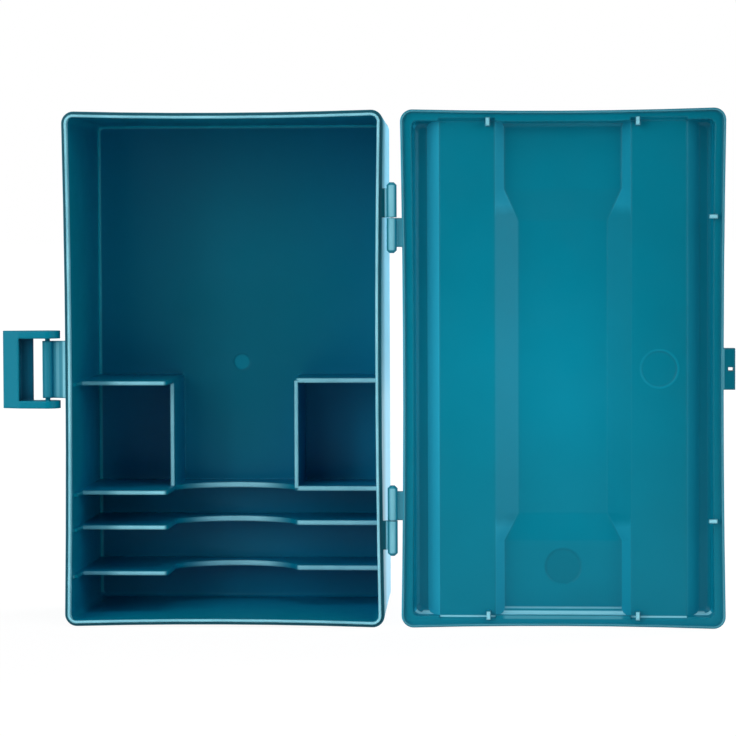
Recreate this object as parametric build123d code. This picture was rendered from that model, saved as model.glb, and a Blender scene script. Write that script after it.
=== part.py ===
"""A saw blade storage case, standing open: a deep tray and a shallow lid of moulded polypropylene,
joined along one long side by two pinned barrel hinges and closed on the other by a swinging latch.

Millimetres, +Z up. The case is built about its hinge line: X runs across both shells, with the tray
at -X and the lid at +X, Y runs from the parting plane into the shells, and Z runs up the hinge
line. The finished pieces are then moved together so that the origin is at the bottom centre.
"""

from build123d import *
from math import radians, tan
import os

# ---- both shells -----------------------------------------------------------------------------
SHELL_WIDTH = 161.0        # across one shell at its rim, from corner to corner
SHELL_HEIGHT = 258.0       # along the hinge line at the rim
RIM_BOW = 1.25             # how far the middle of each rim side sits inside its corners
CORNER_RADIUS = 6.0        # of the rim outline
RIM_BEVEL = 0.6            # on the outer edge of both rims
HINGE_OFFSET = 4.1         # hinge axis to the near rim corners
PARTING_GAP = 0.3          # between the two rims when the case is shut

# ---- tray ------------------------------------------------------------------------------------
TRAY_DEPTH = 91.0          # rim to inner floor
TRAY_FLOOR = 2.4           # thickness of the floor
TRAY_RIM_WALL = 3.0        # wall at the rim
TRAY_BASE_WALL = 2.4       # wall at the floor
TRAY_DRAFT = 1.55          # degrees, outside of the walls
TONGUE_START = 1.55        # raised tongue round the rim, in from the outline to the inner wall
TONGUE_HEIGHT = 1.2
TONGUE_CLEARANCE = 0.3     # each side of the tongue, in the lid's rebate
BACK_EDGE_RADIUS = 3.0     # round where the outside walls meet the back
FLOOR_FILLET = 2.0         # inside, where the walls meet the floor
STRAIGHT_BAND = 7.0        # depth at the back where the walls have neither bow nor draft
GATE_RADIUS = 4.2          # shallow moulding gate in the middle of the floor
GATE_DEPTH = 0.4

# ---- dividers inside the tray ----------------------------------------------------------------
DIVIDER_THICKNESS = 2.0    # at the top edge
DIVIDER_DRAFT = 0.4        # degrees, each face
DIVIDER_LEVELS = (24.4, 47.7, 65.4)   # heights of the three full-width dividers
POCKET_LEVEL = 121.0       # height of the wall that closes the two pockets at the top
POCKET_WALL_SPREAD = 32.1  # pocket walls each side of the tray's middle
LATCH_SIDE_TOP = 23.0      # rim down to the dividers' high edge, on the latch side
HINGE_SIDE_TOP = 51.5      # rim down to their edge on the hinge side
SHOULDER_TOP = 57.0        # rim down to both ends of the finger scoop
SCOOP_TOP = 75.0           # rim down to the middle of the finger scoop
STEP_RADIUS = 3.0          # round at the corners of the high and low edges
GUIDE_RIB_PROUD = 1.2      # small rib on the latch-side wall above each high edge
GUIDE_RIB_TOP = 6.0        # rim down to the rib's top

# ---- lid -------------------------------------------------------------------------------------
LID_WALL = 2.0             # thickness everywhere
LID_DRAFT = 4.5            # degrees, walls
REBATE_DEPTH = 1.5         # takes the tray's tongue
LEDGE_WIDTH = 2.2          # from the tongue's room to the wall, on the rebate's floor
COVE = 3.0                 # height of the cove where the walls meet the deep floors
FLANGE_DEPTH = 4.5         # the rim flange that stands out round the lid's wall
FLAT_DEPTH = 4.5           # rim down to the two raised flats
FLAT_END_RUN = 1.5         # slope at both ends of a flat, from the tongue's room to the flat
LID_DEPTH = 10.5           # rim down to the edge channels and the middle trough
LID_INNER_RADIUS = 3.0     # corners of the lid's inner wall
CHANNEL_EDGE = 61.35       # flats, from the lid's middle: edge beside the channel
CHANNEL_RUN = 6.2          # sideways run of the slope down to the channel
TROUGH_EDGE = 33.6         # flats' edge beside the middle trough
TROUGH_FOOT = 29.2         # trough's floor, half its width at both ends
WAIST_FOOT = 22.2          # and half its width along the waist
WAIST_DROP = 2.0           # the waist's floor below the rest of the trough
WAIST_LEVELS = (43.0, 56.7, 202.6, 218.3)   # heights where the waist begins and ends
MARK_RADIUS = 8.9          # shallow round moulding marks
MARK_DEPTH = 0.3
TROUGH_MARK_LEVEL = 30.0   # height of the mark in the trough

# ---- locating lugs round the lid's rim -------------------------------------------------------
LUG_THICKNESS = 2.0
LUG_LENGTH = 4.2           # towards the lid's middle
LUG_INSET = 3.4            # from the rim outline
LUG_PROUD = 0.8            # past the rim
LUG_SPREAD = 37.0          # end lugs, each side of the lid's middle

# ---- hinges ----------------------------------------------------------------------------------
BARREL_RADIUS = 2.5
BARREL_LENGTH = 17.4
BARREL_GAP = 0.3           # between the tray's barrel and the lid's
BARREL_NOSE = 1.4          # chamfer on the far end of each barrel
WEB_SETBACK = 3.0          # of the web from that end
HINGE_SPREAD = 75.3        # hinge joints above and below the middle of the case
HINGE_WEB = 2.0            # thickness of the web that carries a barrel
HINGE_PIN_RADIUS = 1.0
HINGE_PIN_BITE = 13.5      # length of pin in each barrel
RUNNING_CLEARANCE = 0.05   # radial, where a pin turns

# ---- latch, its bracket on the tray and its catch on the lid ---------------------------------
PIVOT_OUT = 8.2            # latch pivot from the rim outline
PIVOT_DEPTH = 4.0          # latch pivot behind the parting plane
BRACKET_WIDTH = 28.6       # along the pivot
BRACKET_BARREL = 2.6       # radius
BRACKET_WEB = 2.6          # thickness beside the barrel
BRACKET_RISE = 3.0         # how much thicker the web is at the shell
CHEEK_GAP = 1.3            # between the bracket and each cheek
CHEEK_THICKNESS = 3.8
CHEEK_RADIUS = 6.4         # rounded end of a cheek, about the pivot
LATCH_REACH = 22.3         # pivot to the latch's free edge
WINDOW_END = 7.5           # pivot to the far side of the window
HOOK_START = 13.75         # pivot to the face that hooks the catch
HOOK_PROUD = 4.8           # hook above the pivot line
RECESS_SUNK = 0.8          # floor of the recess below the pivot line
LATCH_BACK = 2.6           # outer face below the pivot line
LATCH_TIP_PROUD = 1.2      # inner face at the free edge, above the pivot line
LATCH_PIN_RADIUS = 1.25
LATCH_PIN_SHORT = 0.5      # pin ends inside the cheeks' outer faces
CATCH_REACH = 4.4          # catch beyond the rim outline
CATCH_WIDTH = 20.4
CATCH_FRONT = 0.4          # front of the catch behind the parting plane
CATCH_CLEARANCE = 0.45     # between the catch and the shut latch's hook
CATCH_HOLE = (2.5, 1.8)    # core hole beside the wall, along the catch and across it

# ---- places worked out from the sizes above --------------------------------------------------
MIDDLE = SHELL_HEIGHT / 2
RIM = PARTING_GAP / 2
SHELL_CENTRE = HINGE_OFFSET + SHELL_WIDTH / 2
FAR_EDGE = HINGE_OFFSET + SHELL_WIDTH
TRAY_BACK = RIM + TRAY_DEPTH + TRAY_FLOOR
REBATE_START = TONGUE_START - TONGUE_CLEARANCE
TONGUE_ROOM = TRAY_RIM_WALL + TONGUE_CLEARANCE
PIVOT = (-(FAR_EDGE + PIVOT_OUT), PIVOT_DEPTH)
LATCH_WIDTH = BRACKET_WIDTH + 2 * (CHEEK_GAP + CHEEK_THICKNESS)


def outline(centre, inset, depth, bow=0.0, radius=CORNER_RADIUS):
    """The shell outline as a face across Y: four sides, bowed inwards, with rounded corners."""
    half_width = SHELL_WIDTH / 2 - inset
    half_height = SHELL_HEIGHT / 2 - inset
    left, right = centre - half_width, centre + half_width
    low, high = MIDDLE - half_height, MIDDLE + half_height
    corners = [(left, low), (right, low), (right, high), (left, high)]
    mids = [(centre, low + bow), (right - bow, MIDDLE), (centre, high - bow), (left + bow, MIDDLE)]
    sides = []
    for index, corner in enumerate(corners):
        following = corners[(index + 1) % 4]
        if bow:
            sides.append(ThreePointArc(corner, mids[index], following))
        else:
            sides.append(Line(corner, following))
    face = make_face(sides)
    face = fillet(face.vertices(), radius)
    return Plane.XZ.offset(-depth) * face


def straight_block(centre, inset, radius, front, back):
    """A prism from one depth to another on the plain outline without bow."""
    face = outline(centre, inset, front, radius=radius)
    return extrude(face, back - front, dir=(0, 1, 0))


def shell_block(centre, sections):
    """A solid lofted through outlines, each given as (inset, depth, bow, radius)."""
    faces = [outline(centre, *section) for section in sections]
    return loft(faces, ruled=True)


def box_between(x, y, z):
    """A box from pairs of coordinates."""
    size = [abs(pair[1] - pair[0]) for pair in (x, y, z)]
    centre = [(pair[0] + pair[1]) / 2 for pair in (x, y, z)]
    return Pos(*centre) * Box(*size)


def upright_prism(points, low, high):
    """A polygon in X and Y, drawn up from one height to another."""
    face = Pos(0, 0, low) * make_face(Polyline(*points, close=True))
    return extrude(face, high - low, dir=(0, 0, 1))


def upright_rod(x, y, radius, low, high):
    return Pos(x, y, (low + high) / 2) * Cylinder(radius, high - low)


# ---- tray ------------------------------------------------------------------------------------
def tray_run(depth):
    """How far the tray's drafted walls have come in from the rim outline at a depth."""
    return (depth - RIM) * tan(radians(TRAY_DRAFT))


def tray_outside():
    band = TRAY_BACK - STRAIGHT_BAND
    back = straight_block(-SHELL_CENTRE, tray_run(band), CORNER_RADIUS, band, TRAY_BACK)
    back = fillet(back.faces().sort_by(Axis.Y)[-1].edges(), BACK_EDGE_RADIUS)
    body = back + shell_block(-SHELL_CENTRE, [
        (RIM_BEVEL, RIM, RIM_BOW, CORNER_RADIUS - RIM_BEVEL),
        (0.0, RIM + RIM_BEVEL, RIM_BOW, CORNER_RADIUS),
        (tray_run(band), band, 0.0, CORNER_RADIUS),
    ])
    tongue_radius = CORNER_RADIUS - TONGUE_START
    tongue = shell_block(-SHELL_CENTRE, [
        (TONGUE_START, RIM - TONGUE_HEIGHT, RIM_BOW, tongue_radius),
        (TONGUE_START, RIM + RIM_BEVEL, RIM_BOW, tongue_radius),
    ])
    return body + tongue


def tray_cavity():
    floor_depth = RIM + TRAY_DEPTH
    band = TRAY_BACK - STRAIGHT_BAND
    inner_radius = CORNER_RADIUS - TRAY_RIM_WALL
    foot = tray_run(band) + TRAY_BASE_WALL
    bottom = straight_block(-SHELL_CENTRE, foot, inner_radius, band, floor_depth)
    bottom = fillet(bottom.faces().sort_by(Axis.Y)[-1].edges(), FLOOR_FILLET)
    return bottom + shell_block(-SHELL_CENTRE, [
        (TRAY_RIM_WALL, RIM - TONGUE_HEIGHT - 1, RIM_BOW, inner_radius),
        (TRAY_RIM_WALL, RIM, RIM_BOW, inner_radius),
        (foot, band, 0.0, inner_radius),
    ])


def divider_wedge(level):
    """The two drafted faces of a divider that lies across X, thinnest at its top edge."""
    top = DIVIDER_THICKNESS / 2
    base = top + (TRAY_DEPTH - LATCH_SIDE_TOP) * tan(radians(DIVIDER_DRAFT))
    front, back = RIM + LATCH_SIDE_TOP, RIM + TRAY_DEPTH
    section = Polyline((front, level - top), (front, level + top),
                       (back, level + base), (back, level - base), close=True)
    face = Plane.YZ.offset(-FAR_EDGE) * make_face(section)
    return extrude(face, SHELL_WIDTH, dir=(1, 0, 0))


def divider_profile():
    """The edge line of a full-width divider, in X and depth: high, stepped, scooped, low."""
    latch_wall, hinge_wall = -FAR_EDGE, -HINGE_OFFSET
    step = POCKET_WALL_SPREAD - DIVIDER_THICKNESS / 2
    floor = RIM + TRAY_DEPTH
    high = Polyline(
        (latch_wall, floor),
        (latch_wall, RIM + LATCH_SIDE_TOP),
        (-SHELL_CENTRE - step, RIM + LATCH_SIDE_TOP),
        (-SHELL_CENTRE - step, RIM + SHOULDER_TOP),
    )
    scoop = ThreePointArc(high @ 1, (-SHELL_CENTRE, RIM + SCOOP_TOP),
                          (-SHELL_CENTRE + step, RIM + SHOULDER_TOP))
    low = Polyline(
        scoop @ 1,
        (-SHELL_CENTRE + step, RIM + HINGE_SIDE_TOP),
        (hinge_wall, RIM + HINGE_SIDE_TOP),
        (hinge_wall, floor),
        (latch_wall, floor),
    )
    face = make_face([high, scoop, low])
    edges_of_step = [v for v in face.vertices()
                     if abs(abs(v.X + SHELL_CENTRE) - step) < 0.01
                     and v.Y < RIM + SHOULDER_TOP - 0.01]
    return fillet(edges_of_step, STEP_RADIUS)


def full_divider(level):
    plate = extrude(Pos(0, 0, level - 5) * divider_profile(), 10, dir=(0, 0, 1))
    return plate & divider_wedge(level)


def pocket_lintel():
    """The wall above the two pockets, which stops at the pocket walls."""
    whole = full_divider(POCKET_LEVEL)
    reach = POCKET_WALL_SPREAD - DIVIDER_THICKNESS / 2
    gap = box_between((-SHELL_CENTRE - reach, -SHELL_CENTRE + reach), (0, TRAY_BACK),
                      (POCKET_LEVEL - 5, POCKET_LEVEL + 5))
    return whole - gap


def pocket_wall(side):
    """A wall beside the middle gap, between the upper divider and the lintel."""
    top = DIVIDER_THICKNESS / 2
    base = top + (TRAY_DEPTH - LATCH_SIDE_TOP) * tan(radians(DIVIDER_DRAFT))
    x = -SHELL_CENTRE + side * POCKET_WALL_SPREAD
    front, back = RIM + HINGE_SIDE_TOP, RIM + TRAY_DEPTH
    points = [(x - top, front), (x + top, front), (x + base, back), (x - base, back)]
    return upright_prism(points, DIVIDER_LEVELS[-1], POCKET_LEVEL)


def guide_rib(level):
    """A small rib that carries a divider's high edge up the latch-side wall."""
    run = tray_run(RIM + LATCH_SIDE_TOP)
    wall = -FAR_EDGE + TRAY_RIM_WALL + RIM_BOW
    half = DIVIDER_THICKNESS / 2
    points = [(-FAR_EDGE + 1, RIM + GUIDE_RIB_TOP),
              (wall - 0.3, RIM + GUIDE_RIB_TOP),
              (wall + GUIDE_RIB_PROUD, RIM + GUIDE_RIB_TOP + 2 * GUIDE_RIB_PROUD),
              (wall + GUIDE_RIB_PROUD + run, RIM + LATCH_SIDE_TOP + 1),
              (-FAR_EDGE + 1, RIM + LATCH_SIDE_TOP + 1)]
    return upright_prism(points, level - half, level + half)


def hinge_knuckle(side, low, high, nose_at_top):
    """A barrel on the hinge line with a web back to the shell at that side."""
    barrel = upright_rod(0, 0, BARREL_RADIUS, low, high)
    end = barrel.edges().sort_by(Axis.Z)[-1 if nose_at_top else 0]
    barrel = chamfer(end, BARREL_NOSE)
    web_low = low if nose_at_top else low + WEB_SETBACK
    web_high = high - WEB_SETBACK if nose_at_top else high
    shell_side = side * (HINGE_OFFSET + RIM_BOW + RIM_BEVEL)
    web = box_between((0, shell_side), (BARREL_RADIUS - HINGE_WEB, BARREL_RADIUS),
                      (web_low, web_high))
    return barrel + web


def hinge_joints():
    """For each hinge: the height of its joint, and whether the tray's barrel is the upper one."""
    return ((MIDDLE + HINGE_SPREAD, True), (MIDDLE - HINGE_SPREAD, False))


def knuckle_span(joint, above):
    start = joint + BARREL_GAP / 2 if above else joint - BARREL_GAP / 2
    far = start + BARREL_LENGTH if above else start - BARREL_LENGTH
    return min(start, far), max(start, far)


def latch_bracket():
    x, y = PIVOT
    low, high = MIDDLE - BRACKET_WIDTH / 2, MIDDLE + BRACKET_WIDTH / 2
    barrel = upright_rod(x, y, BRACKET_BARREL, low, high)
    wall = -FAR_EDGE + RIM_BOW + 1
    back = y + BRACKET_BARREL
    front = back - BRACKET_WEB
    web = upright_prism([(x, back), (x, front), (x + BRACKET_BARREL, front),
                         (wall, front - BRACKET_RISE), (wall, back)], low, high)
    bore = upright_rod(x, y, LATCH_PIN_RADIUS, low - 1, high + 1)
    return barrel + web - bore


def tray():
    cavity = tray_cavity()
    for level in DIVIDER_LEVELS:
        cavity -= full_divider(level)
    cavity -= pocket_lintel()
    for side in (-1, 1):
        cavity -= pocket_wall(side)
    for level in (*DIVIDER_LEVELS, POCKET_LEVEL):
        cavity -= guide_rib(level)
    body = tray_outside() - cavity
    gate = Pos(-SHELL_CENTRE, RIM + TRAY_DEPTH, MIDDLE) * Rot(90, 0, 0) * Cylinder(
        GATE_RADIUS, 2 * GATE_DEPTH)
    body = body - gate + latch_bracket()
    for joint, above in hinge_joints():
        low, high = knuckle_span(joint, above)
        body += hinge_knuckle(-1, low, high, above)
        bite = HINGE_PIN_BITE if above else -HINGE_PIN_BITE
        face = joint + (BARREL_GAP / 2 if above else -BARREL_GAP / 2)
        body -= upright_rod(0, 0, HINGE_PIN_RADIUS, *sorted((face, face + bite)))
    return body


# ---- lid -------------------------------------------------------------------------------------
def lid_wall_inset(depth):
    """Inset of the lid's inner wall below the rim outline, at a depth."""
    return TONGUE_ROOM + LEDGE_WIDTH + (depth - RIM) * tan(radians(LID_DRAFT))


def sloped_side(top, foot, rise, skin):
    """Where a slope starts and ends once it is moved sideways to leave a skin behind it."""
    run = foot - top
    length = (run ** 2 + rise ** 2) ** 0.5
    across = skin * length / rise
    direction = -1 if run > 0 else 1
    return top + direction * across, foot + direction * across + skin * run / rise


def channel(side, skin):
    """The space of one edge channel, or with a skin the solid that encloses it."""
    rise = LID_DEPTH - FLAT_DEPTH
    top, foot = sloped_side(CHANNEL_EDGE, CHANNEL_EDGE + CHANNEL_RUN, rise, skin)
    front, back = RIM + FLAT_DEPTH, RIM + LID_DEPTH + skin
    beyond = SHELL_WIDTH / 2 + 1
    points = [(top, front), (foot, back), (beyond, back), (beyond, front)]
    placed = [(SHELL_CENTRE + side * x, y) for x, y in points]
    return upright_prism(placed, -1, SHELL_HEIGHT + 1)


def trough_section(level, foot, drop, skin):
    """Section of the middle trough at a height: flat floor and two slopes."""
    rise = LID_DEPTH + drop - FLAT_DEPTH
    top, foot = sloped_side(TROUGH_EDGE, foot, rise, skin)
    front, back = RIM + FLAT_DEPTH, RIM + LID_DEPTH + drop + skin
    points = [(-top, front), (-foot, back), (foot, back), (top, front)]
    placed = [(SHELL_CENTRE + x, y) for x, y in points]
    return Pos(0, 0, level) * make_face(Polyline(*placed, close=True))


def trough(skin):
    """The middle trough, which narrows and drops along its waist."""
    low_start, low_end, high_start, high_end = WAIST_LEVELS
    plan = [(-1, TROUGH_FOOT, 0), (low_start, TROUGH_FOOT, 0), (low_end, WAIST_FOOT, WAIST_DROP),
            (high_start, WAIST_FOOT, WAIST_DROP), (high_end, TROUGH_FOOT, 0),
            (SHELL_HEIGHT + 1, TROUGH_FOOT, 0)]
    return loft([trough_section(*entry, skin) for entry in plan], ruled=True)


def relief(skin):
    """Flats, trough and channels together, as one space or as the solid that encloses it."""
    slab = box_between((0, FAR_EDGE + 1), (-1, RIM + FLAT_DEPTH + skin), (-1, SHELL_HEIGHT + 1))
    return slab + trough(skin) + channel(-1, skin) + channel(1, skin)


def drafted_wall(skin):
    """The lid's wall and the cove at its foot, as the space inside or the solid that encloses it."""
    foot = RIM + LID_DEPTH + skin
    radius = LID_INNER_RADIUS + skin
    plan = [(RIM - 1, 0.0), (RIM, 0.0), (foot - COVE, 0.0), (foot - COVE / 3, COVE / 4),
            (foot, 0.8 * COVE), (foot + WAIST_DROP + 1, 0.8 * COVE)]
    sections = []
    for depth, step in plan:
        bow = RIM_BOW if depth <= RIM else 0.0
        sections.append((lid_wall_inset(depth) - skin + step, depth, bow, radius))
    return shell_block(SHELL_CENTRE, sections)


def lid_outside():
    flange = shell_block(SHELL_CENTRE, [
        (RIM_BEVEL, RIM, RIM_BOW, CORNER_RADIUS - RIM_BEVEL),
        (0.0, RIM + RIM_BEVEL, RIM_BOW, CORNER_RADIUS),
        (0.0, RIM + FLANGE_DEPTH, RIM_BOW, CORNER_RADIUS),
    ])
    behind_rim = box_between((0, FAR_EDGE + 1), (RIM + 1, TRAY_BACK), (-1, SHELL_HEIGHT + 1))
    body = drafted_wall(LID_WALL) & relief(LID_WALL) & behind_rim
    return flange + body


def rebate():
    """Room for the tray's tongue, and the ledge that runs on from it to the wall."""
    return shell_block(SHELL_CENTRE, [
        (REBATE_START, RIM - 1, RIM_BOW, CORNER_RADIUS - REBATE_START),
        (REBATE_START, RIM + REBATE_DEPTH, RIM_BOW, CORNER_RADIUS - REBATE_START),
    ])


def flat_end(side, top):
    """The slope that takes the place of the ledge where a flat meets an end of the lid."""
    outer = TONGUE_ROOM + RIM_BOW
    inner = outer + FLAT_END_RUN
    points = [(RIM + REBATE_DEPTH - 1, outer), (RIM + REBATE_DEPTH, outer),
              (RIM + FLAT_DEPTH, inner), (RIM + FLAT_DEPTH, inner + 2 * LEDGE_WIDTH),
              (RIM + REBATE_DEPTH - 1, inner + 2 * LEDGE_WIDTH)]
    placed = [(y, SHELL_HEIGHT - z if top else z) for y, z in points]
    middle = SHELL_CENTRE + side * (TROUGH_EDGE + CHANNEL_EDGE) / 2
    half = (CHANNEL_EDGE - TROUGH_EDGE) / 2
    face = Plane.YZ.offset(middle - half) * make_face(Polyline(*placed, close=True))
    return extrude(face, 2 * half, dir=(1, 0, 0))


def lid_cavity():
    space = drafted_wall(0.0) & relief(0.0)
    space += rebate()
    for side in (-1, 1):
        for top in (False, True):
            space += flat_end(side, top)
    return space


def lug(x, z, along_x):
    """A locating lug that stands on the lid's ledge and wall and reaches just into the tray."""
    back = RIM + FLAT_DEPTH + LID_WALL / 2
    wide = (LUG_LENGTH if along_x else LUG_THICKNESS) / 2
    tall = (LUG_THICKNESS if along_x else LUG_LENGTH) / 2
    return box_between((x - wide, x + wide), (RIM - LUG_PROUD, back), (z - tall, z + tall))


def lugs():
    """Two lugs at each end of the lid and two on its latch side, set in from the bowed rim."""
    middle = LUG_INSET + LUG_LENGTH / 2
    end_bow = RIM_BOW * (1 - (LUG_SPREAD / (SHELL_WIDTH / 2)) ** 2)
    side_bow = RIM_BOW * (1 - (HINGE_SPREAD / MIDDLE) ** 2)
    found = []
    for side in (-1, 1):
        x = SHELL_CENTRE + side * LUG_SPREAD
        found.append(lug(x, middle + end_bow, False))
        found.append(lug(x, SHELL_HEIGHT - middle - end_bow, False))
        found.append(lug(FAR_EDGE - middle - side_bow, MIDDLE + side * HINGE_SPREAD, True))
    return found


def catch():
    """The block that the shut latch hooks, with a core hole beside the wall."""
    back = HOOK_START - PIVOT_DEPTH - CATCH_CLEARANCE
    wall = FAR_EDGE - TONGUE_ROOM - LEDGE_WIDTH / 2
    block = box_between((wall, FAR_EDGE + CATCH_REACH), (CATCH_FRONT, back),
                        (MIDDLE - CATCH_WIDTH / 2, MIDDLE + CATCH_WIDTH / 2))
    across, along = CATCH_HOLE
    hole_x = FAR_EDGE + CATCH_REACH / 2
    hole = box_between((hole_x - across / 2, hole_x + across / 2), (CATCH_FRONT - 1, back + 1),
                       (MIDDLE - along / 2, MIDDLE + along / 2))
    return block, hole


def round_mark(x, z, depth):
    return Pos(x, RIM + depth, z) * Rot(90, 0, 0) * Cylinder(MARK_RADIUS, 2 * MARK_DEPTH)


def lid():
    block, hole = catch()
    body = lid_outside() + block - lid_cavity() - hole
    for piece in lugs():
        body += piece
    flat_middle = SHELL_CENTRE + (TROUGH_EDGE + CHANNEL_EDGE) / 2
    body -= round_mark(flat_middle, MIDDLE, FLAT_DEPTH)
    body -= round_mark(SHELL_CENTRE, TROUGH_MARK_LEVEL, LID_DEPTH)
    for joint, tray_above in hinge_joints():
        low, high = knuckle_span(joint, not tray_above)
        body += hinge_knuckle(1, low, high, not tray_above)
        bite = -HINGE_PIN_BITE if tray_above else HINGE_PIN_BITE
        face = joint - (BARREL_GAP / 2 if tray_above else -BARREL_GAP / 2)
        span = sorted((face, face + bite * 1.02))
        body -= upright_rod(0, 0, HINGE_PIN_RADIUS + RUNNING_CLEARANCE, *span)
    return body


# ---- latch -----------------------------------------------------------------------------------
def latch_profile():
    """The latch's section past the pivot, in X and Y: recess plate, hook and tapered grip."""
    x, y = PIVOT
    points = [
        (x - WINDOW_END, y + LATCH_BACK),
        (x - WINDOW_END, y + RECESS_SUNK),
        (x - HOOK_START, y + RECESS_SUNK),
        (x - HOOK_START, y - HOOK_PROUD),
        (x - LATCH_REACH, y - LATCH_TIP_PROUD),
        (x - LATCH_REACH, y + LATCH_BACK),
    ]
    return make_face(Polyline(*points, close=True))


def cheek_profile():
    x, y = PIVOT
    end = Pos(x, y) * Circle(CHEEK_RADIUS)
    grip = Polyline((x - HOOK_START, y - HOOK_PROUD), (x - LATCH_REACH, y - LATCH_TIP_PROUD),
                    (x - LATCH_REACH, y + LATCH_BACK))
    return make_hull([*end.edges(), *grip.edges()])


def latch():
    x, y = PIVOT
    low, high = MIDDLE - LATCH_WIDTH / 2, MIDDLE + LATCH_WIDTH / 2
    body = extrude(Pos(0, 0, low) * latch_profile(), LATCH_WIDTH, dir=(0, 0, 1))
    for start in (low, high - CHEEK_THICKNESS):
        body += extrude(Pos(0, 0, start) * cheek_profile(), CHEEK_THICKNESS, dir=(0, 0, 1))
    bore = upright_rod(x, y, LATCH_PIN_RADIUS + RUNNING_CLEARANCE, low - 1, high + 1)
    return body - bore


# ---- pins ------------------------------------------------------------------------------------
def hinge_pin(joint, tray_above):
    tray_end = BARREL_GAP / 2 + HINGE_PIN_BITE
    low, high = (joint - tray_end, joint + tray_end)
    return upright_rod(0, 0, HINGE_PIN_RADIUS, low, high)


def latch_pin():
    half = LATCH_WIDTH / 2 - LATCH_PIN_SHORT
    return upright_rod(*PIVOT, LATCH_PIN_RADIUS, MIDDLE - half, MIDDLE + half)


def main():
    upper, lower = hinge_joints()
    nodes = {
        "tray": tray(),
        "lid": lid(),
        "latch": latch(),
        "upper_hinge_pin": hinge_pin(*upper),
        "lower_hinge_pin": hinge_pin(*lower),
        "latch_pin": latch_pin(),
    }
    boxes = [piece.bounding_box() for piece in nodes.values()]
    low = [min(tuple(box.min)[axis] for box in boxes) for axis in range(3)]
    high = [max(tuple(box.max)[axis] for box in boxes) for axis in range(3)]
    shift = Pos(-(low[0] + high[0]) / 2, -(low[1] + high[1]) / 2, -low[2])
    os.makedirs("parts", exist_ok=True)
    for name, piece in nodes.items():
        export_step(shift * piece, f"parts/{name}.step")
    print("origin moved by", shift.position)
    print("size", [high[axis] - low[axis] for axis in range(3)])


main()
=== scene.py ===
"""Finish and studio for the open saw blade case: satin teal plastic, steel pins, white stage."""

import math

import bpy
from mathutils import Euler, Matrix, Vector


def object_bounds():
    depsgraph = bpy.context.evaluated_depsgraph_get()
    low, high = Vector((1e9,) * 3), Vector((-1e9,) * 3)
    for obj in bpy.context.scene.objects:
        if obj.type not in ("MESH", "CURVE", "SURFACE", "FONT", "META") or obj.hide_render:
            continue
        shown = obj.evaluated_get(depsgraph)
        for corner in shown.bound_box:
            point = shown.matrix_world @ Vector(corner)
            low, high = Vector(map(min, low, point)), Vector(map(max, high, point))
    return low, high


bl_info = {
    "name": "Saw Blade Case Finisher",
    "version": (1, 0, 0),
    "blender": (4, 5, 0),
    "location": "View3D > Sidebar > Blade Case",
    "description": "Dresses the case's mouldings and pins and sets its studio",
    "category": "Object",
}

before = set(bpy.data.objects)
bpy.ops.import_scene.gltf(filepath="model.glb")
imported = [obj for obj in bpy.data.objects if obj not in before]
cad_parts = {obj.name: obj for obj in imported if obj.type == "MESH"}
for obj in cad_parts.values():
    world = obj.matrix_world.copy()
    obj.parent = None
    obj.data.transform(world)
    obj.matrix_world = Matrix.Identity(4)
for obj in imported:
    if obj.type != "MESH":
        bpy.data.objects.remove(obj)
CASE_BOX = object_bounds()

SHELL_NODES = ("tray", "lid")
LATCH_NODES = ("latch", "latch_pin")
PIN_NODES = ("upper_hinge_pin", "lower_hinge_pin")

# ---- places on the open case, in the frame's metres ------------------------------------------
# X runs from the latch across the tray to the lid, Y from the opening into the shells, Z up.
# A pair of numbers is where a band or a change starts and where it ends.

# The tray, where highlights, sheen and shade are painted: its rim and ledge, dividers' edges,
# floor, latch bracket, barrels and outer wall.
LEDGE_Y = (-0.0459, -0.0450)
LEDGE_START_X = (-0.1525, -0.1521)
LEDGE_END_X = (0.0094, 0.0100)
DIVIDER_Y = (-0.0440, -0.0430)
DIVIDER_START_X = (-0.1340, -0.1270)
LATCH_WALL_END_X = (-0.1400, -0.1390)
DEEP_Y = (0.0380, 0.0420)
FLOOR_Y = (0.0430, 0.0440)
BRACKET_WEB_X = (-0.1572, -0.1562)
BRACKET_LINE_X = (-0.1556, -0.1543)
BARREL_X = (0.0095, 0.0105)
OUTER_WALL_X = (0.0055, 0.0090)
OUTER_WALL_Y = (-0.0340, -0.0040)

# The lid: its rim, its catch, the painted highlight lines of its end coves and its trough's lower
# end, where its painted shoulder highlight weakens, and where painted shade fades its colour.
LID_START_X = (0.0156, 0.0158)
LID_END_X = (0.1785, 0.1790)
LUG_Y = (-0.0462, -0.0458)
LID_RIM_Y = (-0.0451, -0.0449)
CATCH_X = (0.1770, 0.1774)
CATCH_Z = (0.1184, 0.1392)
DEEP_COVE_Y = (-0.0376, -0.0356)
HIGH_COVE_Y = (-0.0422, -0.0407)
TROUGH_X = (0.0690, 0.1262)
TROUGH_Y = (-0.0420, -0.0410)
TROUGH_FOOT_Z = (0.0088, 0.0094)
TROUGH_SILL_Z = (0.0047, 0.0058)
SHOULDER_FADE_X = (0.0300, 0.1500)
LID_SHADE_FADE_X = (0.1180, 0.1720)

# The latch: the recess round its window, where shade is painted.
RECESS_X = (-0.1741, -0.1677)
RECESS_Y = (-0.0410, -0.0404)

# Round marks of the mould: middle (X, Z), radius, and the Y behind which they show.
GATE_MARK = ((-0.0716, 0.1288), 0.0042, 0.0400)
TROUGH_MARK = ((0.0976, 0.0298), 0.0089, -0.0400)
FLAT_MARK = ((0.1454, 0.1288), 0.0093, -0.0445)
RING_WIDTH = 0.0007

# How far the edges of drawn lines run out, and the rounding that narrows the line on an edge.
WIDE_SOFT = 0.0004
LINE_SOFT = 0.0003
FINE_SOFT = 0.0002
LINE_ROUND = 0.0009

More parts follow.
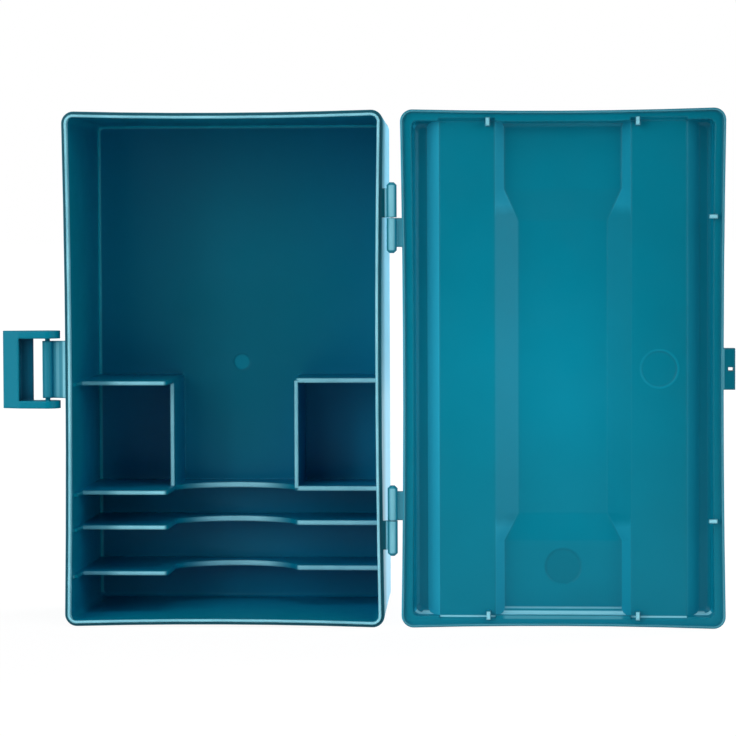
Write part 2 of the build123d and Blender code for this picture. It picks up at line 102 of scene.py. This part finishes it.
# ---- how a face turns: parts of its normal, which is 1 long ----------------------------------
# To the opening (Y), along the case (X) or up (Z); again pairs of a start and an end.
FRONT_TURN = (-0.9, -0.6)
FRONT_LINE_TURN = (-0.97, -0.72)
LEDGE_TURN = (-0.5, -0.3)
LATCH_WALL_TURN = (0.7, 0.9)
OUTER_WALL_TURN = (0.80, 0.95)
LID_INNER_TURN = (-0.35, -0.25)
SHOULDER_TURN = (0.66, 0.86)
WAIST_TURN = (0.50, 0.62)
COVE_TURN = (0.48, 0.93)
TROUGH_END_TURN = (-0.95, -0.9)
FILLET_TURN = (-0.955, -0.35)
FILLET_SIDE_TURN = (0.2, 0.3)
LEFTWARD_TURN = (-0.9, -0.4)
TURN_SOFT = 0.03

# How nearly edge-on a face is seen, from 0 to 1, where the painted sheen on the outer wall begins.
ASLANT = (0.75, 0.88)

# ---- colours painted on the plastic as highlights, sheen and shade, and plain white and black ---
SHOULDER_HIGHLIGHT_COLOUR = (0.02, 0.37, 0.54)
FLOOR_FILLET_HIGHLIGHT_COLOUR = (0.01, 0.60, 0.74)
OUTER_WALL_SHEEN_COLOUR = (0.24, 0.70, 0.95)
RECESS_SHADE_COLOUR = (0.0, 0.065, 0.130)
WHITE = (1.0, 1.0, 1.0, 1.0)
BLACK = (0.0, 0.0, 0.0)

# ---- lamps and camera ------------------------------------------------------------------------
# Softboxes: name, place, width, height, and whether they show in reflections.
SOFTBOXES = (
    ("front_left", (-0.80, -1.60, 0.75), 0.9, 1.2, True),
    ("front_right", (0.90, -1.60, 0.75), 0.9, 1.2, True),
    ("left", (-1.25, -0.95, 0.5), 1.2, 1.6, True),
    ("right", (1.35, -0.95, 0.5), 1.2, 1.6, True),
    ("top", (0.0, -0.6, 1.6), 1.2, 0.6, True),
    ("rear", (0.9, 0.8, 0.45), 0.8, 0.8, False),
)
SPOT_PLACE = (0.09, -1.60, 0.05)
SPOT_TARGET = (0.086, -0.04, 0.122)
SPOT_ANGLE = 5.7

# Place, turn to the right, tilt up and roll; angles are in degrees.
CAMERA_PLACE = (0.10514, -1.62209, 0.20106)
CAMERA_YAW = -3.779
CAMERA_PITCH = -2.591
CAMERA_ROLL = -0.221


# ---- sizes and colours a user may change -----------------------------------------------------
class PlasticSettings(bpy.types.PropertyGroup):
    """Colour and surface of the moulded polypropylene, with the colours of its painted highlight
    and shade.
    """

    shell_colour: bpy.props.FloatVectorProperty(
        name="Moulding colour", description="Colour of the tray, lid and latch",
        subtype="COLOR", size=3, min=0.0, max=1.0, default=(0.0, 0.205, 0.300))
    roughness: bpy.props.FloatProperty(
        name="Roughness", description="How matt the satin mould finish is",
        subtype="FACTOR", min=0.0, max=1.0, default=0.32)
    specular: bpy.props.FloatProperty(
        name="Reflection", description="Strength of the reflection at normal view",
        subtype="FACTOR", min=0.0, max=1.0, default=0.14)
    # Painted highlight: the colour mixed in on thin edges that face the opening and on the lid's
    # cove lines.
    edge_highlight_colour: bpy.props.FloatVectorProperty(
        name="Edge colour",
        description="Paler colour of the thin, worn edges that face the opening",
        subtype="COLOR", size=3, min=0.0, max=1.0, default=(0.32, 0.78, 0.92))
    # Painted shade: the colour mixed in down in the compartments and the latch's corners, where
    # other walls stand within the reach below.
    cavity_shade_colour: bpy.props.FloatVectorProperty(
        name="Recess colour", description="Deeper colour of the plastic down in the compartments",
        subtype="COLOR", size=3, min=0.0, max=1.0, default=(0.0, 0.190, 0.370))
    cavity_shade_reach: bpy.props.FloatProperty(
        name="Recess reach", description="How near other walls stand where the deeper colour shows",
        subtype="DISTANCE", unit="LENGTH", min=0.0, max=0.2, default=0.100)
    grain: bpy.props.FloatProperty(
        name="Grain size", description="Size of one dimple of the spark-eroded mould surface",
        subtype="DISTANCE", unit="LENGTH", min=0.0001, max=0.01, default=0.0007)
    edge_round: bpy.props.FloatProperty(
        name="Edge rounding", description="Radius that softens the moulded edges",
        subtype="DISTANCE", unit="LENGTH", min=0.0, max=0.004, default=0.0016)


class StudioSettings(bpy.types.PropertyGroup):
    """Lamps and camera."""

    lens: bpy.props.FloatProperty(
        name="Focal length", description="Focal length on a 36 mm wide sensor, in millimetres",
        min=20.0, max=400.0, default=155.69)
    front_left_power: bpy.props.FloatProperty(
        name="Front left softbox", description="Power of the softbox left of the camera",
        unit="POWER", min=0.0, max=500.0, default=5.0)
    front_right_power: bpy.props.FloatProperty(
        name="Front right softbox", description="Power of the softbox right of the camera",
        unit="POWER", min=0.0, max=500.0, default=1.9)
    left_power: bpy.props.FloatProperty(
        name="Left softbox", description="Power of the softbox beside the tray",
        unit="POWER", min=0.0, max=500.0, default=15.0)
    right_power: bpy.props.FloatProperty(
        name="Right softbox", description="Power of the softbox beside the lid",
        unit="POWER", min=0.0, max=500.0, default=9.0)
    top_power: bpy.props.FloatProperty(
        name="Top softbox", description="Power of the softbox above the case",
        unit="POWER", min=0.0, max=500.0, default=6.0)
    rear_power: bpy.props.FloatProperty(
        name="Rear softbox", description="Power of the softbox behind the lid",
        unit="POWER", min=0.0, max=500.0, default=20.0)
    spot_power: bpy.props.FloatProperty(
        name="Lid spot", description="Power of the soft spot on the middle of the lid",
        unit="POWER", min=0.0, max=500.0, default=28.0)
    fill: bpy.props.FloatProperty(
        name="Room fill", description="Strength of the even light from the white room",
        min=0.0, max=2.0, default=0.13)


# ---- shader helpers --------------------------------------------------------------------------
def new_material(name):
    """A node material with one shader on its output: the material, its tree and the shader."""
    material = bpy.data.materials.new(name)
    material.use_nodes = True
    tree = material.node_tree
    tree.nodes.clear()
    output = tree.nodes.new("ShaderNodeOutputMaterial")
    shader = tree.nodes.new("ShaderNodeBsdfPrincipled")
    tree.links.new(shader.outputs["BSDF"], output.inputs["Surface"])
    return material, tree, shader


def noise(tree, coordinate, size, detail=2.0, roughness=0.5):
    """Noise whose features are about the given size in metres."""
    node = tree.nodes.new("ShaderNodeTexNoise")
    node.inputs["Scale"].default_value = 1.0 / size
    node.inputs["Detail"].default_value = detail
    node.inputs["Roughness"].default_value = roughness
    tree.links.new(coordinate, node.inputs["Vector"])
    return node.outputs["Fac"]


def map_range(tree, value, low, high, new_low, new_high):
    """The value stretched from one range to another and held inside it."""
    node = tree.nodes.new("ShaderNodeMapRange")
    tree.links.new(value, node.inputs["Value"])
    for name, number in (("From Min", low), ("From Max", high), ("To Min", new_low),
                         ("To Max", new_high)):
        node.inputs[name].default_value = number
    return node.outputs["Result"]


def above(tree, value, limits, amount=1.0, below=0.0):
    """The amount past the limits' upper end, falling to the other one at their lower end."""
    return map_range(tree, value, *limits, below, amount)


def under(tree, value, limits, amount=1.0, beyond=0.0):
    """The amount below the limits' lower end, falling to the other one at their upper end."""
    return map_range(tree, value, *limits, amount, beyond)


def inverse(tree, value):
    """1 where the value is 0, and 0 where it is 1."""
    return map_range(tree, value, 0.0, 1.0, 1.0, 0.0)


def math_node(tree, operation, first, second=None, clamp=False):
    """One step of arithmetic on a socket and, if given, another socket or a plain number."""
    node = tree.nodes.new("ShaderNodeMath")
    node.operation = operation
    node.use_clamp = clamp
    tree.links.new(first, node.inputs[0])
    if isinstance(second, bpy.types.NodeSocket):
        tree.links.new(second, node.inputs[1])
    elif second is not None:
        node.inputs[1].default_value = second
    return node.outputs[0]


def product(tree, result, *factors):
    """The product of a socket with sockets or plain numbers."""
    for factor in factors:
        result = math_node(tree, "MULTIPLY", result, factor)
    return result


def total(tree, result, *terms):
    """The sum of sockets, held at 1 at most."""
    for term in terms:
        result = math_node(tree, "ADD", result, term, clamp=True)
    return result


def band(tree, value, limits, soft):
    """1 where the value lies between the limits, with soft ends."""
    low, high = limits
    return product(tree, above(tree, value, (low - soft, low)),
                   under(tree, value, (high, high + soft)))


def split(tree, vector):
    """The X, Y and Z of a vector."""
    node = tree.nodes.new("ShaderNodeSeparateXYZ")
    tree.links.new(vector, node.inputs[0])
    return node.outputs["X"], node.outputs["Y"], node.outputs["Z"]


def bevel_normal(tree, radius, samples):
    """The surface's normal, with edges softened to the radius."""
    node = tree.nodes.new("ShaderNodeBevel")
    node.samples = samples
    node.inputs["Radius"].default_value = radius
    return node.outputs["Normal"]


def bump(tree, height, strength, distance, normal=None):
    """A normal that follows the height."""
    node = tree.nodes.new("ShaderNodeBump")
    node.inputs["Strength"].default_value = strength
    node.inputs["Distance"].default_value = distance
    tree.links.new(height, node.inputs["Height"])
    if normal is not None:
        tree.links.new(normal, node.inputs["Normal"])
    return node.outputs["Normal"]


def openness(tree, reach):
    """1 where no other wall lies within reach, and 0 where walls stand all round."""
    node = tree.nodes.new("ShaderNodeAmbientOcclusion")
    node.only_local = True
    node.samples = 6
    node.inputs["Distance"].default_value = reach
    return node.outputs["AO"]


def blend(tree, factor, first, second):
    """Colour mix; each colour is a socket or three numbers."""
    node = tree.nodes.new("ShaderNodeMix")
    node.data_type = "RGBA"
    tree.links.new(factor, node.inputs["Factor"])
    for name, colour in (("A", first), ("B", second)):
        if isinstance(colour, bpy.types.NodeSocket):
            tree.links.new(colour, node.inputs[name])
        else:
            node.inputs[name].default_value = (*colour, 1.0)
    return node.outputs["Result"]


def scaled(colour, factor):
    """A colour made lighter or darker."""
    return [min(1.0, channel * factor) for channel in colour]


# ---- where the plastic is lighter or darker --------------------------------------------------
class Surface:
    """A point of a moulding: its place in the frame and the way its face turns, as sockets."""

    def __init__(self, tree):
        texture = tree.nodes.new("ShaderNodeTexCoord")
        self.tree = tree
        self.point = texture.outputs["Object"]
        self.x, self.y, self.z = split(tree, self.point)
        self.turn_x, self.turn_y, self.turn_z = split(tree, texture.outputs["Normal"])

    def on_lid(self, amount=1.0, on_tray=0.0):
        """The amount on the lid, and the other one on the tray."""
        return above(self.tree, self.x, LID_START_X, amount, on_tray)

    def in_front(self, elsewhere=0.0):
        """1 on faces turned to the opening, and the other number elsewhere."""
        return under(self.tree, self.turn_y, FRONT_TURN, beyond=elsewhere)


def edge_line(tree, here):
    """1 on the middle of an edge that faces the opening, less on its rounded corners."""
    own = tree.nodes.new("ShaderNodeVectorTransform")
    own.vector_type = "NORMAL"
    own.convert_from = "WORLD"
    own.convert_to = "OBJECT"
    tree.links.new(bevel_normal(tree, LINE_ROUND, 4), own.inputs[0])
    softly = split(tree, own.outputs[0])[1]
    return product(tree, here.in_front(), under(tree, softly, FRONT_LINE_TURN, beyond=0.3))


def tray_edge_highlights(tree, here, ledge):
    """How strongly the tray's edges get a painted highlight: tongue and dividers, less so barrels
    and bracket.
    """
    shown = product(tree, under(tree, here.y, DEEP_Y), here.on_lid(0.0, 1.0))
    beside = total(tree, above(tree, here.x, BRACKET_WEB_X, 0.28, 0.06),
                   product(tree, band(tree, here.x, BRACKET_LINE_X, LINE_SOFT), 0.6),
                   above(tree, here.x, LEDGE_START_X))
    barrels = under(tree, here.x, BARREL_X, beyond=0.7)
    divider = product(tree, above(tree, here.x, DIVIDER_START_X, below=0.40),
                      above(tree, here.y, DIVIDER_Y))
    dim = total(tree, divider, under(tree, here.y, DIVIDER_Y))
    return product(tree, shown, beside, barrels, inverse(tree, ledge), dim)


def lid_edge_highlights(tree, here, on_catch):
    """How strongly the lid's edges get a painted highlight: its lugs, and less so its rim, but not
    the catch.
    """
    lug = under(tree, here.y, LUG_Y, beyond=0.3)
    rim = product(tree, under(tree, here.y, LID_RIM_Y), under(tree, here.x, LID_END_X))
    return product(tree, lug, rim, here.on_lid(), inverse(tree, on_catch))


def edge_highlights_and_shade(tree, here):
    """How strongly thin edges that face the opening get a painted highlight, and where painted
    shade goes.

    The painted highlight also lies on the tray's latch-side wall near the rim. The painted shade
    lies on the ledge beside the tray's tongue and, at half strength, on the lid's catch.
    """
    on_tray = here.on_lid(0.0, 1.0)
    ledge = product(tree, band(tree, here.y, LEDGE_Y, FINE_SOFT), on_tray,
                    above(tree, here.x, LEDGE_START_X), under(tree, here.x, LEDGE_END_X))
    on_catch = product(tree, band(tree, here.z, CATCH_Z, LINE_SOFT),
                       above(tree, here.x, CATCH_X))
    # Noise that makes the painted edge highlight uneven.
    highlight_unevenness = map_range(tree, noise(tree, here.point, 0.022), 0.35, 0.65, 0.75, 1.0)
    painted_highlight = product(tree, edge_line(tree, here), highlight_unevenness,
                   total(tree, tray_edge_highlights(tree, here, ledge), lid_edge_highlights(tree, here, on_catch)))
    # Painted highlight on the tray's inner wall at the latch side, near the rim.
    latch_wall_highlight = product(tree, under(tree, here.y, DIVIDER_Y), on_tray,
                         above(tree, here.turn_x, LATCH_WALL_TURN),
                         under(tree, here.x, LATCH_WALL_END_X, 0.8))
    # Painted shade on the ledge beside the tray's tongue and, at half strength, on the lid's catch.
    painted_shade = total(tree, product(tree, ledge, under(tree, here.turn_y, LEDGE_TURN)),
                 product(tree, on_catch, 0.5))
    return total(tree, painted_highlight, latch_wall_highlight), painted_shade


def lid_slope_highlights(tree, here):
    """Where highlights are painted: 1 on the lid's steep shoulders, less to the right, and 1 on its
    coves that face up.
    """
    in_lid = product(tree, here.on_lid(), under(tree, here.turn_y, LID_INNER_TURN))
    steep = band(tree, math_node(tree, "ABSOLUTE", here.turn_x), SHOULDER_TURN, 0.06)
    steep = product(tree, steep, under(tree, here.x, SHOULDER_FADE_X, beyond=0.3))
    waist = product(tree, band(tree, here.turn_x, WAIST_TURN, TURN_SOFT), 0.20)
    lines = total(tree, product(tree, band(tree, here.y, DEEP_COVE_Y, LINE_SOFT), 0.72),
                  product(tree, band(tree, here.y, HIGH_COVE_Y, LINE_SOFT), 0.75))
    coves = product(tree, band(tree, here.turn_z, COVE_TURN, TURN_SOFT), lines)
    trough_end = product(tree, band(tree, here.x, TROUGH_X, 0.0015),
                         under(tree, here.turn_y, TROUGH_END_TURN))
    foot = product(tree, band(tree, here.z, TROUGH_FOOT_Z, WIDE_SOFT),
                   above(tree, here.y, TROUGH_Y, 0.45))
    sill = product(tree, band(tree, here.z, TROUGH_SILL_Z, WIDE_SOFT),
                   under(tree, here.y, TROUGH_Y, 0.20))
    coves = total(tree, coves, product(tree, trough_end, total(tree, foot, sill)))
    return product(tree, in_lid, total(tree, steep, waist)), product(tree, in_lid, coves)


def floor_fillet_highlight(tree, here):
    """1 on the fillet between the tray's floor and its latch-side and upper walls, where a
    highlight is painted.
    """
    return product(tree, above(tree, here.y, FLOOR_Y),
                   band(tree, here.turn_y, FILLET_TURN, TURN_SOFT),
                   under(tree, here.turn_z, FILLET_SIDE_TURN))


def outer_wall_sheen(tree, here):
    """How strongly a sheen painted into the colour shows on the tray's outer wall by the hinges,
    seen aslant; more at its back.
    """
    aslant = tree.nodes.new("ShaderNodeLayerWeight")
    aslant.inputs["Blend"].default_value = 0.5
    return product(tree, band(tree, here.x, OUTER_WALL_X, 0.0005),
                   above(tree, here.turn_x, OUTER_WALL_TURN),
                   above(tree, aslant.outputs["Facing"], ASLANT),
                   above(tree, here.y, OUTER_WALL_Y, 0.7))


def round_mark(tree, here, mark, width=None):
    """1 on a round mark of the mould, or on its ring of a given width, and 0 elsewhere."""
    (mark_x, mark_z), radius, shown_from = mark
    flat = tree.nodes.new("ShaderNodeCombineXYZ")
    tree.links.new(here.x, flat.inputs["X"])
    tree.links.new(here.z, flat.inputs["Z"])
    away = tree.nodes.new("ShaderNodeVectorMath")
    away.operation = "DISTANCE"
    tree.links.new(flat.outputs[0], away.inputs[0])
    away.inputs[1].default_value = (mark_x, 0.0, mark_z)
    distance = away.outputs["Value"]
    if width is None:
        inside = under(tree, distance, (radius - 0.0006, radius + 0.0003))
    else:
        inside = band(tree, distance, (radius - width / 2, radius + width / 2), WIDE_SOFT)
    return product(tree, inside, here.in_front(),
                   above(tree, here.y, (shown_from, shown_from + 0.001)))


def shell_shade(tree, here, shade, plastic):
    """The shells' colour, with painted shade in recesses, on the ledge and catch and towards the
    lid's catch end, painted highlights on slopes, coves, fillet and edges, a painted sheen, and
    mould marks.
    """
    colour = plastic.shell_colour
    edge_highlight_colour = tuple(plastic.edge_highlight_colour)
    # Painted shade: a deeper blue where other walls stand near, weaker on the lid.
    cavity_shade = product(tree, map_range(tree, openness(tree, plastic.cavity_shade_reach), 0.15, 0.75, 1.0, 0.0),
                   here.on_lid(0.25, 1.0))
    shoulders, coves = lid_slope_highlights(tree, here)
    ring = product(tree, round_mark(tree, here, FLAT_MARK, RING_WIDTH), 0.45)
    # Painted shade: the lid's colour darkens towards its catch end, less on faces turned away from
    # the opening.
    painted_falloff = product(tree, above(tree, here.x, LID_SHADE_FADE_X, 0.16), here.in_front(elsewhere=0.35))
    painted_highlight, painted_shade = edge_highlights_and_shade(tree, here)
    layers = (
        (cavity_shade, tuple(plastic.cavity_shade_colour)),
        # Painted highlights on the lid's shoulders and coves.
        (shoulders, SHOULDER_HIGHLIGHT_COLOUR),
        (coves, edge_highlight_colour),
        (round_mark(tree, here, GATE_MARK), scaled(colour, 1.45)),
        (round_mark(tree, here, TROUGH_MARK), scaled(colour, 0.89)),
        (ring, scaled(colour, 1.5)),
        (painted_falloff, BLACK),
        (product(tree, floor_fillet_highlight(tree, here), 0.45), FLOOR_FILLET_HIGHLIGHT_COLOUR),
        (outer_wall_sheen(tree, here), OUTER_WALL_SHEEN_COLOUR),
        (painted_shade, scaled(colour, 0.45)),
        (painted_highlight, edge_highlight_colour),
    )
    for factor, layer_colour in layers:
        shade = blend(tree, factor, shade, layer_colour)
    return shade


def shell_reflection(tree, here, specular):
    """The reflection, weaker on the lid's slopes that turn to the left."""
    leftward = product(tree, here.on_lid(), band(tree, here.turn_x, LEFTWARD_TURN, 0.1))
    return map_range(tree, leftward, 0.0, 1.0, specular, specular * 0.25)


def latch_shade(tree, here, shade, plastic):
    """The latch's colour, with painted shade in its corners and in the recess round its window."""
    cavity_shade = map_range(tree, openness(tree, 0.011), 0.45, 0.95, 1.0, 0.0)
    shade = blend(tree, cavity_shade, shade, scaled(plastic.cavity_shade_colour, 0.3))
    recess = product(tree, band(tree, here.x, RECESS_X, FINE_SOFT),
                     band(tree, here.y, RECESS_Y, FINE_SOFT), 0.75)
    return blend(tree, recess, shade, RECESS_SHADE_COLOUR)


# ---- materials -------------------------------------------------------------------------------
def satin_plastic(name, colour, plastic, shell=True):
    """Moulded polypropylene: even colour with faint clouding, fine grain, softened edges."""
    material, tree, shader = new_material(name)
    here = Surface(tree)
    clouds = noise(tree, here.point, 0.060, detail=3.0)
    shade = blend(tree, map_range(tree, clouds, 0.3, 0.7, 0.0, 1.0),
                  scaled(colour, 0.955), scaled(colour, 1.045))
    reflection = shader.inputs["Specular IOR Level"]
    reflection.default_value = plastic.specular * 0.7
    # The shells' colour gets painted shade, highlights and sheen; the latch's gets painted shade.
    if shell:
        shade = shell_shade(tree, here, shade, plastic)
        tree.links.new(shell_reflection(tree, here, plastic.specular), reflection)
    else:
        shade = latch_shade(tree, here, shade, plastic)
    tree.links.new(shade, shader.inputs["Base Color"])
    wipe = noise(tree, here.point, 0.018, detail=4.0, roughness=0.6)
    tree.links.new(map_range(tree, wipe, 0.3, 0.7, plastic.roughness - 0.035,
                             plastic.roughness + 0.045), shader.inputs["Roughness"])
    flow = bump(tree, noise(tree, here.point, 0.035, detail=1.0), 0.10, 0.0008,
                bevel_normal(tree, plastic.edge_round, 6))
    grain = bump(tree, noise(tree, here.point, plastic.grain, detail=1.0), 0.06, 0.0001, flow)
    tree.links.new(grain, shader.inputs["Normal"])
    return material


def drawn_steel(name):
    """Plain drawn wire, with fine lines along its length."""
    material, tree, shader = new_material(name)
    place = tree.nodes.new("ShaderNodeTexCoord").outputs["Object"]
    stretch = tree.nodes.new("ShaderNodeMapping")
    stretch.inputs["Scale"].default_value = (1.0, 1.0, 0.06)
    tree.links.new(place, stretch.inputs["Vector"])
    lines = noise(tree, stretch.outputs["Vector"], 0.0003, detail=3.0)
    shader.inputs["Base Color"].default_value = (0.55, 0.56, 0.58, 1.0)
    shader.inputs["Metallic"].default_value = 1.0
    tree.links.new(map_range(tree, lines, 0.3, 0.7, 0.24, 0.42), shader.inputs["Roughness"])
    tree.links.new(bump(tree, lines, 0.15, 0.00003), shader.inputs["Normal"])
    return material


def dress(nodes, material):
    """Gives CAD nodes their finish."""
    for node in nodes:
        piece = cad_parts[node]
        piece.data.materials.clear()
        piece.data.materials.append(material)


def seen_directly(tree):
    """1 for rays that show the background: straight, in a reflection or through glass."""
    path = tree.nodes.new("ShaderNodeLightPath")
    either = path.outputs["Is Camera Ray"]
    for name in ("Is Glossy Ray", "Is Transmission Ray"):
        either = math_node(tree, "MAXIMUM", either, path.outputs[name])
    return either


def mix_on_output(tree, factor, first, second, output):
    """Puts a mix of two shaders on the output."""
    mix = tree.nodes.new("ShaderNodeMixShader")
    tree.links.new(factor, mix.inputs[0])
    tree.links.new(first.outputs[0], mix.inputs[1])
    tree.links.new(second.outputs[0], mix.inputs[2])
    tree.links.new(mix.outputs[0], output.inputs["Surface"])


def floor_paper():
    """White paper that shows the case's own soft shadow and is otherwise as white as the room."""
    material, tree, shader = new_material("floor_paper")
    shader.inputs["Base Color"].default_value = (0.86, 0.86, 0.86, 1.0)
    shader.inputs["Roughness"].default_value = 0.9
    shader.inputs["Specular IOR Level"].default_value = 0.1
    glow = tree.nodes.new("ShaderNodeEmission")
    glow.inputs["Strength"].default_value = 1.06
    away = tree.nodes.new("ShaderNodeVectorMath")
    away.operation = "LENGTH"
    tree.links.new(tree.nodes.new("ShaderNodeTexCoord").outputs["Object"], away.inputs[0])
    share = product(tree, seen_directly(tree),
                    map_range(tree, away.outputs["Value"], 0.35, 1.2, 0.88, 1.0))
    output = next(node for node in tree.nodes if node.type == "OUTPUT_MATERIAL")
    mix_on_output(tree, share, shader, glow, output)
    return material


def dark_card():
    """A matt black card for the plastic to reflect."""
    material, tree, shader = new_material("dark_card")
    shader.inputs["Base Color"].default_value = (0.01, 0.01, 0.01, 1.0)
    shader.inputs["Roughness"].default_value = 1.0
    shader.inputs["Specular IOR Level"].default_value = 0.0
    return material


def grey_card():
    """A card of an even mid grey, whatever lamp falls on it."""
    material, tree, shader = new_material("grey_card")
    shader.inputs["Base Color"].default_value = (*BLACK, 1.0)
    shader.inputs["Specular IOR Level"].default_value = 0.0
    shader.inputs["Emission Color"].default_value = WHITE
    shader.inputs["Emission Strength"].default_value = 0.30
    return material


# ---- studio ----------------------------------------------------------------------------------
def white_room(fill):
    """World: even light for the case, plain white where the background shows."""
    world = bpy.data.worlds.new("white_room")
    bpy.context.scene.world = world
    world.use_nodes = True
    tree = world.node_tree
    tree.nodes.clear()
    output = tree.nodes.new("ShaderNodeOutputWorld")
    light, shown = (tree.nodes.new("ShaderNodeBackground") for _ in range(2))
    for background, strength in ((light, fill), (shown, 1.0)):
        background.inputs["Color"].default_value = WHITE
        background.inputs["Strength"].default_value = strength
    mix_on_output(tree, seen_directly(tree), light, shown, output)


def plane(name, width, depth, centre, material, tilt=0.0):
    """A flat sheet of the stage, tilted up by an angle in degrees."""
    mesh = bpy.data.meshes.new(name)
    x, y = width / 2, depth / 2
    mesh.from_pydata([(-x, -y, 0), (x, -y, 0), (x, y, 0), (-x, y, 0)], [], [(0, 1, 2, 3)])
    mesh.materials.append(material)
    obj = bpy.data.objects.new(name, mesh)
    obj.location = centre
    obj.rotation_euler = Euler((math.radians(tilt), 0.0, 0.0))
    bpy.context.scene.collection.objects.link(obj)
    return obj


def reflected_cards():
    """Cards that the camera doesn't see and that cast no shadow; the grey one shows in reflections
    only.
    """
    black = dark_card()
    front = plane("camera_side_card", 2.6, 2.2, (0.05, -2.4, 0.75), black, tilt=90.0)
    apron = plane("dark_apron", 3.0, 1.9, (0.05, -1.55, 0.002), black)
    rear = plane("rear_card", 4.0, 3.0, (1.2, 2.4, 0.9), grey_card(), tilt=90.0)
    rear.visible_diffuse = False
    for card in (front, apron, rear):
        card.visible_camera = False
        card.visible_shadow = False


def add_lamp(data, place, target):
    """Hangs a lamp at a place and points it at a target."""
    lamp = bpy.data.objects.new(data.name, data)
    lamp.location = place
    direction = Vector(target) - Vector(place)
    lamp.rotation_euler = direction.to_track_quat("-Z", "Y").to_euler()
    bpy.context.scene.collection.objects.link(lamp)
    return lamp


def add_softbox(name, place, target, width, height, power):
    """A large rectangular lamp."""
    data = bpy.data.lights.new(name, "AREA")
    data.shape = "RECTANGLE"
    data.size = width
    data.size_y = height
    data.energy = power
    return add_lamp(data, place, target)


def add_spot(name, place, target, power):
    """A spot with a soft edge that fades over its whole beam, and that reflections don't show."""
    data = bpy.data.lights.new(name, "SPOT")
    data.energy = power
    data.spot_size = math.radians(SPOT_ANGLE)
    data.spot_blend = 1.0
    data.shadow_soft_size = 0.05
    lamp = add_lamp(data, place, target)
    lamp.visible_glossy = False
    return lamp


def add_camera(scene, lens):
    """Sets the scene's camera in its place."""
    data = bpy.data.cameras.new("camera")
    data.sensor_width = 36.0
    data.lens = lens
    data.clip_start = 0.05
    data.clip_end = 50.0
    camera = bpy.data.objects.new("camera", data)
    turn = Matrix.Rotation(math.radians(-CAMERA_YAW), 4, "Z")
    tilt = Matrix.Rotation(math.radians(90.0 + CAMERA_PITCH), 4, "X")
    roll = Matrix.Rotation(math.radians(CAMERA_ROLL), 4, "Z")
    camera.matrix_world = Matrix.Translation(Vector(CAMERA_PLACE)) @ turn @ tilt @ roll
    scene.collection.objects.link(camera)
    scene.camera = camera


# ---- operators -------------------------------------------------------------------------------
class CASE_OT_mouldings(bpy.types.Operator):
    """Finish the tray, the lid, the latch and its pin in satin teal polypropylene"""

    bl_idname = "blade_case.mouldings"
    bl_label = "Finish Mouldings"

    def execute(self, context):
        plastic = context.scene.case_plastic
        shell_colour = plastic.shell_colour
        dress(SHELL_NODES, satin_plastic("case_plastic", shell_colour, plastic))
        dress(LATCH_NODES, satin_plastic("latch_plastic", scaled(shell_colour, 1.08), plastic,
                                         shell=False))
        return {"FINISHED"}


class CASE_OT_pins(bpy.types.Operator):
    """Finish the two hinge pins in drawn steel"""

    bl_idname = "blade_case.pins"
    bl_label = "Finish Pins"

    def execute(self, context):
        dress(PIN_NODES, drawn_steel("pin_steel"))
        return {"FINISHED"}


class CASE_OT_stage(bpy.types.Operator):
    """Set the white floor, the cards, the lamps and the camera"""

    bl_idname = "blade_case.stage"
    bl_label = "Set Studio"

    def execute(self, context):
        scene = context.scene
        studio = scene.case_studio
        scene.view_settings.view_transform = "Standard"
        white_room(studio.fill)
        plane("floor", 60.0, 60.0, (0.0, 0.0, -0.0002), floor_paper())
        reflected_cards()
        middle = (CASE_BOX[0] + CASE_BOX[1]) / 2
        for name, place, width, height, reflected in SOFTBOXES:
            softbox = add_softbox(name + "_softbox", place, middle, width, height,
                                  getattr(studio, name + "_power"))
            softbox.visible_glossy = reflected
        add_spot("lid_spot", SPOT_PLACE, SPOT_TARGET, studio.spot_power)
        add_camera(scene, studio.lens)
        return {"FINISHED"}


class CASE_PT_sidebar(bpy.types.Panel):
    """Sizes, colours and steps of the case's finish"""

    bl_idname = "CASE_PT_sidebar"
    bl_label = "Saw Blade Case"
    bl_space_type = "VIEW_3D"
    bl_region_type = "UI"
    bl_category = "Blade Case"

    def draw(self, context):
        layout = self.layout
        for settings in (context.scene.case_plastic, context.scene.case_studio):
            box = layout.box()
            for name in settings.__annotations__:
                box.prop(settings, name)
        for step in STEPS:
            layout.operator(step.bl_idname)


STEPS = (CASE_OT_mouldings, CASE_OT_pins, CASE_OT_stage)
CLASSES = (PlasticSettings, StudioSettings, *STEPS, CASE_PT_sidebar)


def register():
    for cls in CLASSES:
        bpy.utils.register_class(cls)
    bpy.types.Scene.case_plastic = bpy.props.PointerProperty(type=PlasticSettings)
    bpy.types.Scene.case_studio = bpy.props.PointerProperty(type=StudioSettings)


def unregister():
    del bpy.types.Scene.case_plastic
    del bpy.types.Scene.case_studio
    for cls in reversed(CLASSES):
        bpy.utils.unregister_class(cls)


def main():
    register()
    bpy.ops.blade_case.mouldings()
    bpy.ops.blade_case.pins()
    bpy.ops.blade_case.stage()


if __name__ == "__main__":
    main()
